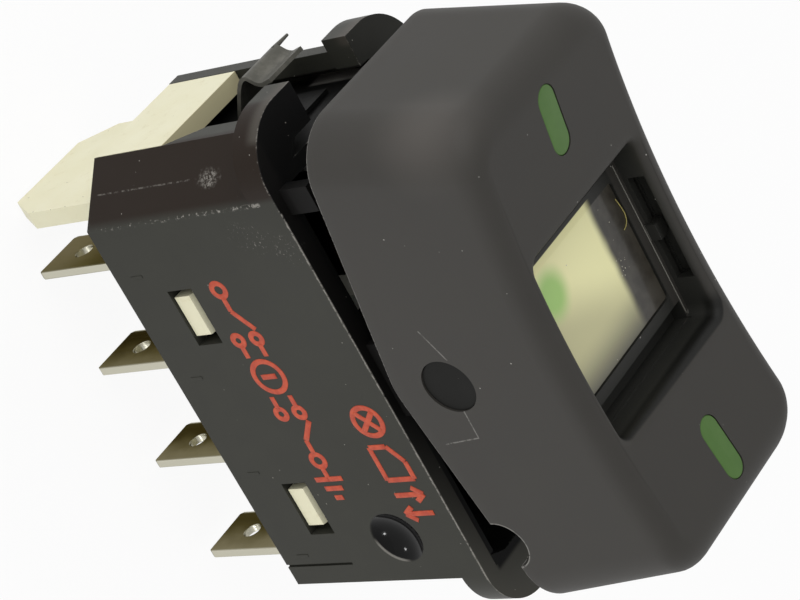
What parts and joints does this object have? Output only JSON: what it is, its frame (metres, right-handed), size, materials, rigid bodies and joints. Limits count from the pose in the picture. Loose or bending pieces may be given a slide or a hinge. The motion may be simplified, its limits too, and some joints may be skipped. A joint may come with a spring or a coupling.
{
  "type": "power window switch",
  "caption": "Panel-mounted rocker switch for a vehicle window: dished lit rocker with an empty icon window, keyed housing, spring clips and flat blade terminals.",
  "frame": {"origin": "on the panel's front face, at the foot of the line through the rocker's pivot", "axes": "+Z out of the panel towards the user, +Y along the pivot, +X along the rocker towards the plain end (the keyed end is at -X)"},
  "size_m": [0.0559, 0.0265, 0.0618],
  "materials": {
    "housing_black": "satin moulded",
    "cream_plastic": "satin moulded",
    "rocker_grey": "fine matt texture",
    "frosted_pane": "frosted, glossy skin",
    "green_lens": "satin",
    "white_plastic": "satin moulded",
    "spring_steel": "drawn wire",
    "bridge_brass": "stamped",
    "tinned_brass": "tinned",
    "lamp_glass": "clear",
    "green_cap": "translucent",
    "clip_black": "blackened spring steel"
  },
  "bodies": {
    "housing": {"housing": "housing_black", "terminal_base": "cream_plastic", "contact_near_a": "tinned_brass", "fulcrum_near": "tinned_brass", "contact_near_b": "tinned_brass", "lamp_feed_near": "tinned_brass", "contact_far_a": "tinned_brass", "fulcrum_far": "tinned_brass", "contact_far_b": "tinned_brass", "lamp_feed_far": "tinned_brass", "lamp_socket": "white_plastic", "lamp": "lamp_glass", "lamp_filter": "green_cap", "clip_a": "clip_black", "clip_b": "clip_black"},
    "rocker": {"rocker": "rocker_grey", "light_box": "cream_plastic", "diffuser": "frosted_pane", "lens_a": "green_lens", "lens_b": "green_lens", "spring_near": "spring_steel", "spring_far": "spring_steel"},
    "plunger_near": {"plunger_near": "white_plastic"},
    "plunger_far": {"plunger_far": "white_plastic"},
    "bridge_near": {"bridge_near": "bridge_brass"},
    "bridge_far": {"bridge_far": "bridge_brass"}
  },
  "joints": [
    {"name": "rocker_tilt", "type": "hinge", "parent": "housing", "child": "rocker", "pos_m": [0, 0, 0.0116], "axis": [0, 1, 0], "range_deg": [-11, 11], "stiffness_Nm_per_rad": 1},
    {"name": "plunger_near_slide", "type": "slide", "parent": "rocker", "child": "plunger_near", "axis": [0, 0, 1], "range_m": [0, 0.001], "stiffness_N_per_m": 500, "springref_m": -0.001, "deforming": ["spring_near"]},
    {"name": "plunger_far_slide", "type": "slide", "parent": "rocker", "child": "plunger_far", "axis": [0, 0, 1], "range_m": [0, 0.001], "stiffness_N_per_m": 500, "springref_m": -0.001, "deforming": ["spring_far"]},
    {"name": "bridge_near_rock", "type": "hinge", "parent": "housing", "child": "bridge_near", "pos_m": [0, -0.0061, -0.011], "axis": [0, 1, 0], "range_deg": [-7, 7]},
    {"name": "bridge_far_rock", "type": "hinge", "parent": "housing", "child": "bridge_far", "pos_m": [0, 0.0061, -0.011], "axis": [0, 1, 0], "range_deg": [-7, 7]}
  ],
  "couplings": [
    {"joint": "bridge_near_rock", "follows": "rocker_tilt", "ratio": -0.636},
    {"joint": "bridge_far_rock", "follows": "rocker_tilt", "ratio": -0.636}
  ]
}
